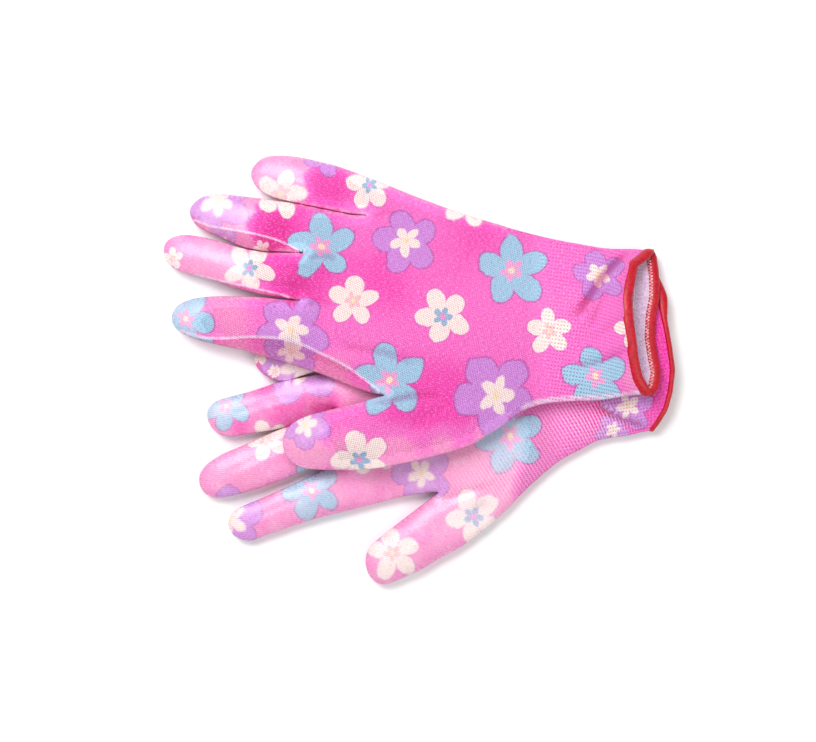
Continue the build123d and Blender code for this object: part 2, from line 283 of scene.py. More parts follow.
def inside(points, loop):
    """True for each point that the loop goes round."""
    x, y = points[:, 0], points[:, 1]
    result = np.zeros(len(points), bool)
    for (x0, y0), (x1, y1) in zip(loop, np.roll(loop, -1, axis=0)):
        if y0 != y1:
            result ^= ((y0 > y) != (y1 > y)) & (x < (x1 - x0) * (y - y0) / (y1 - y0) + x0)
    return result


def distance_to_line(points, line, closed=False):
    """Distance from each point to the line."""
    ends = np.roll(line, -1, axis=0) if closed else line[1:]
    starts = line if closed else line[:-1]
    best = np.full(len(points), 1e9)
    for a, b in zip(starts, ends):
        d = b - a
        t = np.clip(((points - a) @ d) / max(d @ d, 1e-12), 0, 1)
        off = points - a - t[:, None] * d
        best = np.minimum(best, np.hypot(off[:, 0], off[:, 1]))
    return best


def away_from(points, taken, gap):
    """The points that are further than the gap from every one that is taken."""
    if not len(taken):
        return points
    off = points[:, None] - taken[None]
    return points[np.hypot(off[..., 0], off[..., 1]).min(1) > gap]


class Glove:
    """The flat pattern of one glove, its height, and where its fingers lie."""

    def __init__(self, pattern):
        self.__dict__.update(pattern)
        self.loop = curve_through(self.outline, 1.15)
        self.fingers = {
            f: (np.array(r, float), np.array(t, float), z0, z1) for f, (r, t, z0, z1) in self.fingers.items()
        }
        a, b = (np.array(p) for p in self.hand)
        self.hand_dir = (b - a) / np.linalg.norm(b - a)
        self.grid_low = self.loop.min(0) - 2 * GRID
        self.shape = np.ceil((self.loop.max(0) + 2 * GRID - self.grid_low) / GRID).astype(int) + 1
        self.solve_inflation()

    def grid_points(self):
        axes = (self.grid_low[k] + GRID * np.arange(self.shape[k]) for k in (0, 1))
        gx, gy = np.meshgrid(*axes, indexing="ij")
        return np.stack([gx.ravel(), gy.ravel()], 1)

    def solve_inflation(self):
        """A membrane blown up over the outline, by over-relaxation. The root of its height is a round
        section's height."""
        mask = inside(self.grid_points(), self.loop).reshape(self.shape)
        u = np.zeros(self.shape)
        checker = (np.add.outer(*(np.arange(n) for n in self.shape)) % 2).astype(bool)
        for _ in range(SWEEPS):
            for colour in (checker, ~checker):
                near = np.zeros(self.shape)
                near[1:-1, 1:-1] = u[2:, 1:-1] + u[:-2, 1:-1] + u[1:-1, 2:] + u[1:-1, :-2]
                u = np.where(mask & colour, u + OVER_RELAX * ((near + GRID * GRID) / 4 - u), u)
                u[-1] = u[-2]
        self.u = np.maximum(u, 0)
        self.lift = np.zeros(self.shape)

    def fullness(self, points):
        """Height of the inflated membrane over each point: 0 at the outline."""
        edge = distance_to_line(points, self.loop, closed=True)
        return np.where(edge < 1e-6, 0, np.sqrt(2 * np.maximum(self.read_grid(self.u, points), 0)))

    def direction(self, finger):
        root, tip, _, _ = self.fingers[finger]
        return (tip - root) / np.linalg.norm(tip - root)

    def along(self, points, finger):
        """How far each point is along a finger from its root, and how far to the side of it."""
        d = self.direction(finger)
        off = points - self.fingers[finger][0]
        return off @ d, off @ np.array([-d[1], d[0]])

    def length(self, finger):
        root, tip, _, _ = self.fingers[finger]
        return np.linalg.norm(tip - root)

    def bend_along(self, finger):
        """Distance from a finger's root to its bend, from the joint in the record."""
        at = np.array(joints[f"{self.name}_{finger}"]["pos_m"][:2]) * 1000 + CENTRE
        return float(self.along(at[None, :], finger)[0][0])

    def weights(self, points, start=-26.0, end=4.0):
        """How much each finger holds a point: near 1 past its end, 0 on the hand."""
        w = {}
        for f in self.fingers:
            t, s = self.along(points, f)
            reach = 17 if f == "thumb" else 14
            w[f] = smooth(t, start, end) * np.exp(-((s / reach) ** 4)) + 1e-9
        scale = np.maximum(sum(w.values()), 1)
        return {f: v / scale for f, v in w.items()}

    def middle_height(self, points):
        """Height over the ground of the side folds and of the plane between the two sides."""
        y = points[:, 1]
        if self.name == "left":
            hand = np.full(len(points), 4.5)
        else:
            over = 16.4 - 0.12 * y
            hand = over + (4.9 - over) * smooth(y, 14, 80)
        w = self.weights(points)
        z = hand * (1 - np.minimum(sum(w.values()), 1))
        for f, (_, _, z0, z1) in self.fingers.items():
            t = self.along(points, f)[0] / self.length(f)
            z += w[f] * (z0 + (z1 - z0) * np.clip(t, -0.6, 1.1))
        return z

    def rest_on(self, other):
        """Raise this glove where it would sink into the one under it."""
        points = self.grid_points()
        below = np.full(len(points), -1e3)
        for aside in ((0, 0), (4, 0), (-4, 0), (0, 4), (0, -4)):
            moved = points + np.array(aside)
            below = np.maximum(below, np.where(inside(moved, other.loop), other.heights(moved)[1], -1e3))
        need = below + GLOVE_GAP - self.heights(points)[2]
        need = np.where(inside(points, self.loop), np.maximum(need, 0), 0).reshape(self.shape)
        lift = need
        for _ in range(60):
            spread = lift.copy()
            spread[1:-1, 1:-1] = (lift[2:, 1:-1] + lift[:-2, 1:-1] + lift[1:-1, 2:] + lift[1:-1, :-2]) / 4
            lift = np.maximum(need, spread)
        self.lift = lift

    def read_grid(self, values, points):
        """The value at each point of something known on the grid."""
        g = (points - self.grid_low) / GRID
        i = np.clip(np.floor(g).astype(int), 0, np.array(values.shape) - 2)
        f = np.clip(g - i, 0, 1)
        x, y, fx, fy = i[:, 0], i[:, 1], f[:, 0], f[:, 1]
        near = values[x, y] * (1 - fx) * (1 - fy) + values[x + 1, y] * fx * (1 - fy)
        return near + values[x, y + 1] * (1 - fx) * fy + values[x + 1, y + 1] * fx * fy

    def heights(self, points):
        """Height of the middle plane, the upper side and the underside at each point, before wrinkles."""
        s = self.fullness(points)
        middle = self.middle_height(points) + self.read_grid(self.lift, points)
        on_finger = np.minimum(sum(self.weights(points, -6, 16).values()), 1)
        mouth = smooth(points[:, 0], 70, 118)
        if self.name == "left":
            up = 0.2 + 0.26 * on_finger
            down = 0.1 + 0.34 * on_finger
        else:
            up = 0.205 + 0.255 * on_finger + 0.09 * mouth
            down = 0.075 + 0.375 * on_finger + 0.03 * mouth
        return middle, middle + up * s, middle - down * s


def wrinkles(glove, points, s):
    """Folds and unevenness of the upper side, in millimetres up, and how deep in a fold each point is, which
    the materials darken as painted shade.
    """
    x, y = points[:, 0], points[:, 1]
    bump = 0.22 * np.sin(x / 9.1 + 1.3 * np.sin(y / 13.0)) * np.sin(y / 11.3 + 0.7)
    bump += 0.16 * np.sin(x / 4.7 + y / 6.1) * np.sin(y / 5.3 - x / 14.0)
    depth_in = np.zeros(len(points))
    for start, end, depth, width in CREASES[glove.name]:
        a, b = np.array(start, float), np.array(end, float)
        d = b - a
        length = np.linalg.norm(d)
        d = d / length
        t = (points - a) @ d / length
        off = (points - a) @ np.array([-d[1], d[0]]) + 0.5 * width * np.sin(t * 5.0)
        fade = smooth(t, -0.15, 0.2) * (1 - smooth(t, 0.75, 1.15))
        dip = fade * np.exp(-((off / width) ** 2))
        roll = fade * np.exp(-(((off - 2.1 * width) / (1.6 * width)) ** 2))
        bump += depth * (0.8 * roll - dip)
        depth_in = np.maximum(depth_in, dip * min(depth, 1.6) / 1.6)
    return bump * smooth(s, 1.5, 7), depth_in


def mouth_x(glove, y, lift):
    """Where the mouth of the cuff lies, from the underside (lift -1) to the upper side (lift 1)."""
    if glove.name == "left":
        at = [-27, -24, -18, -10, 0, 10, 24, 34, 43]
        return np.interp(y, at, [108, 110, 113.4, 115.4, 116.4, 115, 112.6, 112, 109]) + 0.9 * lift
    top = np.interp(y, [-12, -9, -4, 5, 24, 33, 49, 55], [103.6, 101.4, 99, 97.0, 94.4, 94.0, 97.6, 105.6])
    at = [-12, -8, -1, 5, 15, 25, 33, 52, 55]
    under = np.interp(y, at, [104, 108.6, 109, 107.6, 106, 106.6, 108.4, 109, 107])
    return under + (top - under) * smooth(lift, -0.9, 0.9)


def true_x(glove, points, middle, top, under, upper):
    """Where the points of the pattern lie once the mouth of the cuff has its shape."""
    tall = 8.5 if glove.name == "right" else 6.5
    above, below = (top - middle) / tall, (middle - under) / (tall * 0.4)
    side = np.where(upper, np.clip(above, 0, 1), -np.clip(below, 0, 1))
    h = np.interp(points[:, 0], [RIM_FROM, CUT_END], [0, 1]) ** 1.3
    return points[:, 0] + h * (mouth_x(glove, points[:, 1], side) - CUT_END)


def on_ground(z):
    """Heights kept over the ground, flattening out as they come near it."""
    floor, near = 0.12, 1.2
    return np.where(z < near, floor + (near - floor) * np.exp((z - near) / (near - floor)), z)


# The pattern as triangles


def edge_rings(glove, taken):
    """Points in rings inside the outline."""
    loop = glove.loop
    tangent = np.roll(loop, -1, axis=0) - np.roll(loop, 1, axis=0)
    normal = np.stack([-tangent[:, 1], tangent[:, 0]], 1)
    normal /= np.linalg.norm(normal, axis=1)[:, None]
    area = np.sum(loop[:, 0] * np.roll(loop[:, 1], -1) - np.roll(loop[:, 0], -1) * loop[:, 1])
    normal *= 1 if area > 0 else -1
    rings = []
    for d in EDGE_RINGS:
        ring = (loop + normal * d)[:: 2 if d == EDGE_RINGS[-1] else 1]
        edge = distance_to_line(ring, loop, closed=True)
        rings.append(away_from(ring[inside(ring, loop) & (edge > 0.9 * d)], taken, 0.6))
    return rings


def net_points(glove, taken):
    """An even net over the rest of the pattern."""
    loop = glove.loop
    low, high = loop.min(0), loop.max(0)
    rows = np.arange(low[1], high[1], STEP * 0.866)
    across = np.arange(low[0], high[0], STEP)
    net = np.array([(x + (j % 2) * STEP / 2, y) for j, y in enumerate(rows) for x in across])
    net = net[inside(net, loop)]
    edge = distance_to_line(net, loop, closed=True)
    return away_from(net[edge > EDGE_RINGS[-1] + 0.8], taken, 0.9)


def crease_points(glove):
    """Closer points along the deep creases."""
    found = []
    for start, end, depth, width in CREASES[glove.name]:
        if depth < 0.9:
            continue
        a, b = np.array(start, float), np.array(end, float)
        across = np.array([a[1] - b[1], b[0] - a[0]]) / np.linalg.norm(b - a)
        t = np.linspace(-0.1, 1.1, int(np.linalg.norm(b - a) / 1.1))[:, None]
        for off in (-1.5, -0.7, 0.0, 0.7, 1.5, 2.6):
            line = a + t * (b - a) + across * off * width
            edge = distance_to_line(line, glove.loop, closed=True)
            found.append(line[inside(line, glove.loop) & (edge > 3.5)])
    return found


def triangulate(glove):
    """A mesh of the pattern, with edges along its outline and folds."""
    loop = glove.loop
    folds = [curve_through(f["line"], 1.6, closed=False) for f in FOLDS[glove.name]]
    taken = np.concatenate(folds) if folds else np.zeros((0, 2))
    points = [loop]
    edges = [(i, (i + 1) % len(loop)) for i in range(len(loop))]
    count = len(loop)
    for fold in folds:
        fold = fold[inside(fold, loop)]
        edges += [(count + i, count + i + 1) for i in range(len(fold) - 1)]
        points.append(fold)
        count += len(fold)
    points += [*edge_rings(glove, taken), net_points(glove, taken), *crease_points(glove)]
    verts, _, faces, _, _, _ = delaunay_2d_cdt(
        [Vector(p) for p in np.concatenate(points)], edges, [list(range(len(loop)))], 1, 1e-4
    )
    bm = bmesh.new()
    bverts = [bm.verts.new((v.x, v.y, 0)) for v in verts]
    for f in faces:
        if len(f) == 3:
            bm.faces.new([bverts[i] for i in f])
    return bm


def cut(glove, bm):
    """Divide each finger from the hand a little before its bend, and the cuff at its ribs, and trim it."""
    for f in glove.fingers:
        d = glove.direction(f)
        at = glove.bend_along(f) - CUT_BEFORE
        where = glove.fingers[f][0] + d * at
        centres = np.array([face.calc_center_median()[:2] for face in bm.faces])
        t, aside = glove.along(centres, f)
        mine = (np.abs(t - at) < 8) & (np.abs(aside) < HALF_REACH[f])
        near = [face for face, m in zip(list(bm.faces), mine) if m]
        edges = list({e for face in near for e in face.edges})
        verts = list({v for face in near for v in face.verts})
        geom = edges + near + verts
        bmesh.ops.bisect_plane(bm, geom=geom, dist=1e-4, plane_co=(*where, 0), plane_no=(*d, 0))
    for x in (glove.rib_from, CUT_END):
        geom = bm.verts[:] + bm.edges[:] + bm.faces[:]
        bmesh.ops.bisect_plane(
            bm, geom=geom, dist=1e-4, plane_co=(x, 0, 0), plane_no=(1, 0, 0), clear_outer=x == CUT_END
        )
    bmesh.ops.triangulate(bm, faces=[f for f in bm.faces if len(f.verts) > 3])


def make_sheet(glove):
    """The flat pattern as triangles, with edges along its folds: (points, triangles, labels)."""
    bm = triangulate(glove)
    cut(glove, bm)
    bm.verts.ensure_lookup_table()
    bm.faces.ensure_lookup_table()
    xy = np.array([v.co[:2] for v in bm.verts])
    tri = np.array([[v.index for v in f.verts] for f in bm.faces])
    bm.free()
    a, b, c = xy[tri[:, 0]], xy[tri[:, 1]], xy[tri[:, 2]]
    turned = (b - a)[:, 0] * (c - a)[:, 1] - (b - a)[:, 1] * (c - a)[:, 0]
    tri[turned < 0] = tri[turned < 0][:, ::-1]
    centres = xy[tri].mean(1)
    labels = np.full(len(tri), "hand", dtype=object)
    labels[centres[:, 0] > glove.rib_from] = "cuff"
    for f in glove.fingers:
        labels[beyond_bend(glove, f, tri, centres)] = f
    return xy, tri, labels


def beyond_bend(glove, finger, tri, centres):
    """The triangles of one finger past its cut: those that hang together with the finger's middle."""
    t, aside = glove.along(centres, finger)
    at = glove.bend_along(finger) - CUT_BEFORE
    candidate = (t > at) & (np.abs(aside) < HALF_REACH[finger] + 3)
    if (glove.name, finger) == ("left", "little"):
        candidate &= (t > 7.5) | (aside < 10.2)  # the web beside the ring finger stays with the hand
    on_edge = {}
    for i in np.where(candidate)[0]:
        for a, b in zip(tri[i], np.roll(tri[i], -1)):
            on_edge.setdefault((min(a, b), max(a, b)), []).append(i)
    start = int(np.argmin(np.where(candidate, np.hypot(t - at - 8, aside), 1e9)))
    found, todo = {start}, [start]
    while todo:
        i = todo.pop()
        for a, b in zip(tri[i], np.roll(tri[i], -1)):
            for j in on_edge[(min(a, b), max(a, b))]:
                if j not in found:
                    found.add(j)
                    todo.append(j)
    return np.array(sorted(found))


def vertex_normals(verts, faces):
    a, b, c = (verts[faces[:, k]] for k in range(3))
    n = np.cross(b - a, c - a)
    out = np.zeros_like(verts)
    for k in range(3):
        np.add.at(out, faces[:, k], n)
    return out / np.maximum(np.linalg.norm(out, axis=1), 1e-12)[:, None]


def build_shell(glove):
    """The glove's outer surface as one mesh: upper side, then underside, joined at the edge.

    plan is each point's place in the flat pattern, edge its distance from the outline there, rise its height
    over the side folds, and crease how deep it lies in a fold.
    """
    xy, tri, labels = make_sheet(glove)
    edge = distance_to_line(xy, glove.loop, closed=True)
    seam = edge < 1e-3
    middle, top, under = glove.heights(xy)
    upper_x = true_x(glove, xy, middle, top, under, True)
    under_x = true_x(glove, xy, middle, top, under, False)
    upper_x = np.where(seam, (upper_x + under_x) / 2, upper_x)
    bump, crease = wrinkles(glove, np.stack([upper_x, xy[:, 1]], 1), glove.fullness(xy))
    top = top + bump
    top[seam] = under[seam] = middle[seam]
    under_index = np.where(seam, np.arange(len(xy)), -1)
    under_index[~seam] = len(xy) + np.arange((~seam).sum())
    above = np.stack([upper_x, xy[:, 1], top], 1)
    below = np.stack([under_x, xy[:, 1], under], 1)[~seam]
    verts = np.concatenate([above, below])
    verts[:, 2] = on_ground(verts[:, 2])
    faces = np.concatenate([tri, under_index[tri][:, ::-1]])
    plan = np.concatenate([xy, xy[~seam]])
    return SimpleNamespace(
        verts=verts,
        faces=faces,
        normals=vertex_normals(verts, faces),
        labels=np.concatenate([labels, labels]),
        upper=np.arange(len(faces)) < len(tri),
        upper_vertex=np.arange(len(verts)) < len(xy),
        plan=plan,
        edge=distance_to_line(plan, glove.loop, closed=True),
        rise=verts[:, 2] - np.concatenate([middle, middle[~seam]]),
        crease=np.concatenate([crease, np.zeros((~seam).sum())]),
    )


# What is painted on the surface


def print_attributes(glove, seen, faces, upper, past):
    """Where each corner lies on the flower nearest to its face: (across, along, kind)."""
    out = np.zeros((len(faces) * 3, 3), np.float32)
    centres = seen[faces].mean(1)
    sets = [(upper & ~past, FLOWERS[glove.name], (0, 0)), (~upper, FLOWERS[glove.name], BELOW[glove.name])]
    if glove.name == "right":
        sets.append((upper & past, FLOWERS["right_past"], (0, 0)))
    for chosen, flowers, shift in sets:
        flower = np.array(flowers, float)
        flower[:, :2] += shift
        index = np.where(chosen)[0]
        off = centres[index, None] - flower[None, :, :2]
        d = np.hypot(off[..., 0], off[..., 1]) / flower[None, :, 2]
        best = np.argmin(d, axis=1)
        f = flower[best]
        turn = np.radians(f[:, 3])
        for k in range(3):
            off = (seen[faces[index, k]] - f[:, :2]) / f[:, 2:3]
            out[index * 3 + k, 0] = off[:, 0] * np.cos(turn) + off[:, 1] * np.sin(turn)
            out[index * 3 + k, 1] = -off[:, 0] * np.sin(turn) + off[:, 1] * np.cos(turn)
            out[index * 3 + k, 2] = np.where(d[np.arange(len(best)), best] < PETAL_REACH, f[:, 4], 0)
    return out


def knit_coordinates(glove, shell):
    """Across and along the knit at each corner, in millimetres, carried on round the steep sides."""
    faces, normals = shell.faces, shell.normals
    out = np.zeros((len(faces) * 3, 2), np.float32)
    steep = smooth(np.hypot(normals[:, 0], normals[:, 1]), 0.55, 0.95)
    around = shell.plan - normals[:, :2] * (shell.rise * steep)[:, None]
    for label in set(shell.labels):
        d = -(glove.direction(label) if label in glove.fingers else glove.hand_dir)
        index = np.where(shell.labels == label)[0]
        for k in range(3):
            p = around[faces[index, k]]
            out[index * 3 + k, 0] = p @ np.array([-d[1], d[0]])
            out[index * 3 + k, 1] = p @ d
    return out


def dip_amount(glove, shell):
    """How far inside the dipped area a vertex lies: 0 at its edge, 1 a few millimetres in."""
    plan = shell.plan
    palm_side = shell.upper_vertex if glove.name == "left" else ~shell.upper_vertex
    x, y = plan[:, 0], plan[:, 1]
    reach = np.full(len(plan), -30.0)
    for f in glove.fingers:
        t, s = glove.along(plan, f)
        over_tip = t - (glove.length(f) - WRAP[glove.name][f]) + 1.8 * np.sin(s / 2.3 + len(f))
        near = np.abs(s) < (17 if f == "thumb" else 13)
        reach = np.where(near, np.maximum(reach, over_tip), reach)
    wrist = DIP_END[glove.name] - x + 2.5 * np.sin(y / 7.0)
    palm = np.where(palm_side, wrist, np.minimum(wrist, 2.2 - shell.edge))
    return np.clip(np.maximum(reach, palm) / DIP_SOFT, -1, 1)


def spots(seen, places):
    """The sum at each point of soft round or oval patches: (x, y, half width, half height, amount)."""
    out = np.zeros(len(seen))
    for x, y, wide, high, amount in places:
        out += amount * np.exp(-(((seen[:, 0] - x) / wide) ** 2 + ((seen[:, 1] - y) / high) ** 2))
    return out


def fold_distance(glove, shell, seen):
    """Distance past the nearest printed fold at each vertex, and the faces past one, on the upper side."""
    fold = np.full(len(seen), -20.0)
    past = np.zeros(len(shell.faces), bool)
    centres = seen[shell.faces].mean(1)
    for item in FOLDS[glove.name]:
        line = curve_through(item["line"], 1.6, closed=False)
        region = np.concatenate([line, np.array(item["beyond"], float)])
        dist = distance_to_line(seen, line)
        signed = np.where(inside(seen, region), dist, -dist) * 0.7 / item["width"]
        fold = np.where(shell.upper_vertex & (np.abs(signed) < np.abs(fold)), signed, fold)
        past |= inside(centres, region) & shell.upper
    return fold, past


def painted(glove, shell):
    """What the materials read at each corner or vertex."""
    seen = shell.verts[:, :2]  # as seen from above, which the print is laid out in
    fold, past = fold_distance(glove, shell, seen)
    return {
        "flower": print_attributes(glove, seen, shell.faces, shell.upper, past),
        "knit": knit_coordinates(glove, shell),
        "dip": dip_amount(glove, shell),
        "fold": fold,
        "rib": smooth(shell.plan[:, 0], glove.rib_from - 10, glove.rib_from + 6),
        "tint": spots(seen, [(x, y, radius, radius, amount) for x, y, radius, amount in TINT_AND_SHADE[glove.name]]),
        "crease": shell.crease,
        "stripe": spots(seen, STRIPES if glove.name == "left" else []),
    }


# Pieces


def mesh_piece(name, verts, faces, corner=None, vector=None, scalar=None, normals=None):
    """A Blender object from plain arrays, in metres in the shared frame."""
    mesh = bpy.data.meshes.new(name)
    moved = verts.copy()
    moved[:, :2] -= CENTRE
    mesh.from_pydata((moved * 0.001).tolist(), [], [list(map(int, f)) for f in faces])
    for key, values in (vector or {}).items():
        layer = mesh.attributes.new(key, "FLOAT_VECTOR", "CORNER")
        layer.data.foreach_set("vector", np.ascontiguousarray(values, np.float32).ravel())
    for key, values in (corner or {}).items():
        layer = mesh.uv_layers.new(name=key)
        layer.data.foreach_set("uv", np.ascontiguousarray(values, np.float32).ravel())
    for key, values in (scalar or {}).items():
        layer = mesh.attributes.new(key, "FLOAT", "POINT")
        layer.data.foreach_set("value", np.ascontiguousarray(values, np.float32))
    mesh.polygons.foreach_set("use_smooth", np.ones(len(mesh.polygons), bool))
    mesh.update()
    if normals is not None:
        mesh.normals_split_custom_set_from_vertices(normals.tolist())
    obj = bpy.data.objects.new(name, mesh)
    bpy.context.scene.collection.objects.link(obj)
    return obj


def open_edges(faces):
    """Edges with one face, in that face's direction."""
    edges = np.concatenate([faces[:, [0, 1]], faces[:, [1, 2]], faces[:, [2, 0]]])
    key = np.sort(edges, axis=1)
    _, inverse, counts = np.unique(key, axis=0, return_inverse=True, return_counts=True)
    return edges[counts[inverse.ravel()] == 1]


def thick_piece(name, shell, chosen, outer, inner, paint):
    """The chosen faces as a closed piece between two offsets from the glove's surface."""
    index = np.where(chosen)[0]
    used, renumbered = np.unique(shell.faces[index], return_inverse=True)
    tri = renumbered.reshape(-1, 3)
    n = len(used)
    rim = open_edges(tri)
    sides = np.array([(a, a + n, b + n) for a, b in rim] + [(a, b + n, b) for a, b in rim]).reshape(-1, 3)
    verts, normals = shell.verts[used], shell.normals[used]
    corners = (index[:, None] * 3 + np.arange(3)).ravel()
    back = (index[:, None] * 3 + np.array([2, 1, 0])).ravel()
    _, first = np.unique(tri, return_index=True)
    order = np.concatenate([corners, back, corners[first[sides.ravel() % n]]])
    inside_face = (np.arange(len(order)) >= len(corners)).astype(float)
    points = ("dip", "fold", "rib", "tint", "crease", "stripe")
    return mesh_piece(
        name,
        np.concatenate([verts + normals * outer[used][:, None], verts + normals * inner[used][:, None]]),
        np.concatenate([tri, tri[:, ::-1] + n, sides]),
        corner={"knit": paint["knit"][order], "inside": np.stack([inside_face, inside_face], 1)},
        vector={"flower": paint["flower"][order]},
        scalar={key: np.concatenate([paint[key][used], paint[key][used]]) for key in points},
        normals=np.concatenate([normals, -normals]),
    )


# Materials


def rgb(r, g, b):
    """A linear colour from the usual 0 to 255 screen values."""
    out = []
    for v in (r, g, b):
        v /= 255
        out.append(v / 12.92 if v <= 0.04045 else ((v + 0.055) / 1.055) ** 2.4)
    return (*out, 1.0)


PALE = rgb(243, 156, 200)  # the pink where the dip has washed it
CREAM, BLUE, PURPLE = rgb(246, 237, 226), rgb(156, 206, 228), rgb(204, 138, 220)


class Nodes:
    """Short ways to add and join shader nodes."""

    def __init__(self, tree):
        self.tree = tree

    def add(self, kind, **settings):
        node = self.tree.nodes.new(kind)
        for key, value in settings.items():
            setattr(node, key, value)
        return node

    def link(self, value, socket):
        if isinstance(value, bpy.types.NodeSocket):
            self.tree.links.new(value, socket)
        else:
            socket.default_value = value

    def math(self, operation, *values):
        node = self.add("ShaderNodeMath", operation=operation)
        for value, socket in zip(values, node.inputs):
            self.link(value, socket)
        return node.outputs[0]

    def mul(self, a, b):
        return self.math("MULTIPLY", a, b)

    def plus(self, a, b):
        return self.math("ADD", a, b)

    def minus(self, a, b):
        return self.math("SUBTRACT", a, b)

    def radius(self, a, b):
        return self.math("SQRT", self.plus(self.mul(a, a), self.mul(b, b)))

    def swing(self, noise, amount):
        """Noise from 0 to 1, as a value of about half the amount either way."""
        return self.mul(self.minus(noise, 0.5), amount)

    def wave(self, value, period):
        return self.math("COSINE", self.mul(value, 2 * math.pi / period))

    def mix(self, factor, a, b, blend="MIX"):
        node = self.add("ShaderNodeMix", data_type="RGBA", blend_type=blend, clamp_factor=True)
        self.link(factor, node.inputs["Factor"])
        self.link(a, node.inputs[6])
        self.link(b, node.inputs[7])
        return node.outputs[2]

    def ramp(self, value, low, high):
        node = self.add("ShaderNodeMapRange", interpolation_type="SMOOTHSTEP")
        self.link(value, node.inputs["Value"])
        self.link(low, node.inputs["From Min"])
        self.link(high, node.inputs["From Max"])
        return node.outputs[0]

    def attribute(self, name, output="Fac"):
        return self.add("ShaderNodeAttribute", attribute_name=name).outputs[output]

    def split(self, value, kind="ShaderNodeSeparateXYZ"):
        node = self.add(kind)
        self.link(value, node.inputs[0])
        return node.outputs

    def uv(self, name):
        return self.split(self.add("ShaderNodeUVMap", uv_map=name).outputs[0])

    def noise(self, vector, scale, detail=2.0, rough=0.5, output="Fac"):
        node = self.add("ShaderNodeTexNoise")
        self.link(vector, node.inputs["Vector"])
        node.inputs["Scale"].default_value = scale
        node.inputs["Detail"].default_value = detail
        node.inputs["Roughness"].default_value = rough
        return node.outputs[output]

    def bump(self, height, distance, strength):
        node = self.add("ShaderNodeBump")
        node.inputs["Distance"].default_value = distance
        node.inputs["Strength"].default_value = strength
        self.link(height, node.inputs["Height"])
        return node


def petals(n, p, q, turn, distance, size, long):
    """How far inside a five-petalled shape a point is: above 0 inside. size is a number or a socket."""
    radius = n.radius(p, q)
    fifth = 2 * math.pi / 5
    turned = n.plus(n.math("ARCTAN2", q, p), turn + 20 * fifth + fifth / 2)
    folded = n.minus(n.math("MODULO", turned, fifth), fifth / 2)
    x = n.mul(radius, n.math("COSINE", folded))
    y = n.mul(radius, n.math("SINE", folded))
    reach = n.radius(n.math("DIVIDE", n.minus(x, distance), long), n.math("DIVIDE", y, size))
    petal = n.mul(n.minus(1.0, reach), size)
    heart = n.minus(distance * 0.72, radius)
    return n.math("MAXIMUM", petal, heart)


def pink_ground(n, coords, tint, dipped):
    """The pink of the print, deeper on the back, with painted shade where the tint patches deepen it, and how
    far the dip has soaked into it.
    """
    ground = n.mix(n.ramp(tint, -0.1, 1.0), rgb(244, 112, 202), rgb(241, 66, 180))
    # The deepest pink is partly the print's own and partly painted shade on the left glove by the right
    # glove's edges and in its finger crotches.
    ground = n.mix(n.mul(n.ramp(tint, 1.0, 2.1), 0.8), ground, rgb(226, 30, 152))
    ground = n.mix(n.mul(n.ramp(tint, -0.1, -1.1), 0.8), ground, PALE)
    cloud = n.mul(n.ramp(n.noise(coords, 55.0, 3.0, 0.6), 0.32, 0.62), 0.4)
    soak = n.mul(dipped, n.plus(0.35, cloud))
    soak = n.mul(soak, n.minus(1.0, n.mul(n.ramp(tint, 0.2, 1.1), 0.8)))
    return n.mix(soak, ground, PALE), soak


def add_flowers(n, coords, wobble, soft, ground):
    """The flowers of the print over the ground: petals, inner petals, and a dot."""
    flower = n.split(n.attribute("flower", "Vector"))
    shift = n.swing(wobble, 0.08)
    drift = n.split(n.noise(coords, 85.0, 0.0, output="Color"), "ShaderNodeSeparateColor")
    p = n.plus(flower[0], n.plus(shift, n.swing(drift[0], 0.24)))
    q = n.plus(flower[1], n.plus(shift, n.swing(drift[1], 0.24)))
    kind = {k: n.math("COMPARE", flower[2], float(k), 0.4) for k in (1, 2, 3, 4)}
    any_kind = n.math("GREATER_THAN", flower[2], 0.5)
    width = n.plus(0.33, n.mul(kind[4], 0.035))
    shape = petals(n, p, q, -math.pi / 2, 0.60, width, 0.42)
    scale = n.minus(2.9, n.mul(kind[4], 0.85))
    inner = petals(n, n.mul(p, scale), n.mul(q, scale), math.pi / 2 + 0.25, 0.56, 0.30, 0.44)

    petal = n.mix(kind[4], n.mix(kind[3], CREAM, BLUE), PURPLE)
    centre = n.mix(kind[1], rgb(246, 186, 190), rgb(246, 200, 200))
    for k, colour in ((2, rgb(146, 186, 212)), (3, rgb(236, 168, 214)), (4, CREAM)):
        centre = n.mix(kind[k], centre, colour)
    core = n.mix(kind[2], rgb(248, 232, 190), rgb(236, 150, 208))
    core = n.mix(kind[4], core, rgb(244, 232, 190))

    outline = n.mul(n.ramp(shape, -0.065, -0.025), any_kind)
    halo = n.mul(outline, n.plus(0.3, n.mul(n.plus(kind[3], kind[4]), 0.4)))
    colour = n.mix(halo, ground, rgb(164, 84, 172))
    colour = n.mix(n.mul(n.ramp(shape, -soft, soft), any_kind), colour, petal)
    colour = n.mix(n.mul(n.ramp(inner, -1.6 * soft, 1.6 * soft), any_kind), colour, centre)
    return n.mix(n.mul(n.ramp(n.radius(p, q), 0.13, 0.07), any_kind), colour, core)


def add_folds(n, wobble, colour):
    """The white lines where the glove was folded under the press, the duller print past them, darkened partly
    as painted shade, and painted shade along the creases.
    """
    fold = n.attribute("fold")
    # Painted shade, together with the underside's duller print: the colour past a fold is darkened.
    colour = n.mix(n.mul(n.ramp(fold, 0.0, 1.2), 0.6), colour, rgb(214, 150, 184), "MULTIPLY")
    line = n.mul(n.ramp(fold, -1.1, -0.2), n.ramp(fold, 0.9, 0.2))
    line = n.mul(line, n.plus(0.55, n.mul(n.ramp(wobble, 0.3, 0.6), 0.45)))
    colour = n.mix(n.mul(line, 0.75), colour, rgb(240, 224, 244))
    # Painted shade: the colour is darkened along the deep creases.
    crease = n.ramp(n.attribute("crease"), 0.15, 1.0)
    return n.mix(n.mul(crease, 0.75), colour, rgb(214, 90, 168), "MULTIPLY")


